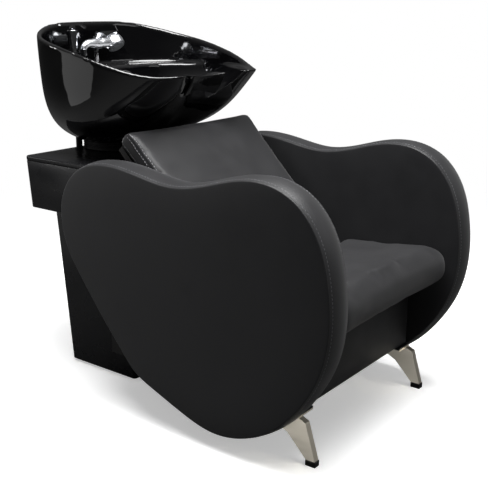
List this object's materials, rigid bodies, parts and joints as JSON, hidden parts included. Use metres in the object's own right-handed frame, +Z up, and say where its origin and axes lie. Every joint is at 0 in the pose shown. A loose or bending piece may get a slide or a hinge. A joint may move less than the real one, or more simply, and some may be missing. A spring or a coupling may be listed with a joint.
{
  "type": "hair washing bed",
  "caption": "Upholstered salon backwash chair with rounded arms and a tilting black ceramic bowl behind it, with mixer, hand shower and neck rest.",
  "frame": {"origin": "on the floor, under the middle of the overall box", "axes": "+X to the side, across the seat; +Y from the seat's front towards the bowl at the rear, so the sitter faces -Y; +Z up"},
  "size_m": [0.68, 1.0053, 0.9133],
  "materials": {
    "seat_leather": "black grained faux leather, soft sheen",
    "shelf_vinyl": "smooth black vinyl, semi-gloss",
    "carcass_wood": "plywood and softwood, stained black",
    "dust_cloth": "black non-woven cloth",
    "black_steel": "black powder coat",
    "zinc_steel": "zinc plated",
    "brushed_nickel": "brushed nickel",
    "black_plastic": "moulded black",
    "black_rubber": "matt black rubber",
    "hose_rubber": "smooth black hose",
    "black_glaze": "glossy black glaze",
    "neck_gel": "soft glossy black gel",
    "chrome": "polished chrome",
    "silver_plastic": "satin silver",
    "spray_plastic": "light grey, with nozzles",
    "brass": "bare brass"
  },
  "bodies": {
    "stand": {"arm_band_left": "seat_leather", "arm_band_right": "seat_leather", "arm_outer_pad_left": "seat_leather", "arm_outer_pad_right": "seat_leather", "arm_inner_pad_left": "seat_leather", "arm_inner_pad_right": "seat_leather", "seat_cushion": "seat_leather", "back_cushion": "seat_leather", "front_apron": "seat_leather", "shelf_box": "shelf_vinyl", "shelf_top": "shelf_vinyl", "column_shell": "shelf_vinyl", "arm_core_left": "carcass_wood", "arm_core_right": "carcass_wood", "base_frame": "carcass_wood", "seat_deck": "carcass_wood", "back_board": "carcass_wood", "glide_blocks": "carcass_wood", "underside_cover": "dust_cloth", "back_brackets": "black_steel", "floor_plate": "black_steel", "steel_post": "black_steel", "support_plate": "black_steel", "tilt_yoke": "black_steel", "arm_bolts": "zinc_steel", "leg_screws": "zinc_steel", "yoke_bolts": "zinc_steel", "tilt_pin": "zinc_steel", "pin_rings": "zinc_steel", "service_screws": "zinc_steel", "front_leg_left": "brushed_nickel", "front_leg_right": "brushed_nickel", "leg_spacers": "black_plastic", "column_glides": "black_plastic", "service_panel": "black_plastic", "waste_outlet": "black_plastic", "leg_glides": "black_rubber", "tilt_bellows": "black_rubber", "hose_grommets": "black_rubber", "waste_hose": "hose_rubber", "stop_valves": "brass"},
    "basin": {"basin_bowl": "black_glaze", "neck_rest": "neck_gel", "tilt_cradle": "black_steel", "drain_flange": "chrome", "waste_coupling": "black_plastic", "mixer_body": "chrome", "hose_guide": "chrome", "handset_holder": "chrome", "hot_hose": "hose_rubber", "cold_hose": "hose_rubber", "hose_loop": "hose_rubber", "shower_hose": "hose_rubber"},
    "mixer_cap": {"mixer_cap": "chrome"},
    "mixer_lever": {"mixer_lever": "chrome"},
    "hand_shower": {"handset_body": "silver_plastic", "handset_face": "spray_plastic", "handset_nut": "chrome"},
    "strainer": {"drain_strainer": "chrome"}
  },
  "joints": [
    {"name": "basin_tilt", "type": "hinge", "parent": "stand", "child": "basin", "pos_m": [0, 0.3935, 0.6], "axis": [1, 0, 0], "range_deg": [-8, 1.5], "deforming": ["tilt_bellows", "waste_hose", "hot_hose", "cold_hose", "hose_loop"]},
    {"name": "mixer_swivel", "type": "hinge", "parent": "basin", "child": "mixer_cap", "pos_m": [-0.104, 0.4485, 0.885], "axis": [0, 0, 1], "range_deg": [-25, 25]},
    {"name": "mixer_lift", "type": "hinge", "parent": "mixer_cap", "child": "mixer_lever", "pos_m": [-0.104, 0.4485, 0.89805], "axis": [0, -1, 0], "range_deg": [0, 20]},
    {"name": "handset_lift", "type": "slide", "parent": "basin", "child": "hand_shower", "axis": [0, -0.8, 0.6], "range_m": [0, 0.12], "deforming": ["shower_hose"]},
    {"name": "strainer_lift", "type": "slide", "parent": "basin", "child": "strainer", "axis": [0, 0, 1], "range_m": [0, 0.03]}
  ]
}
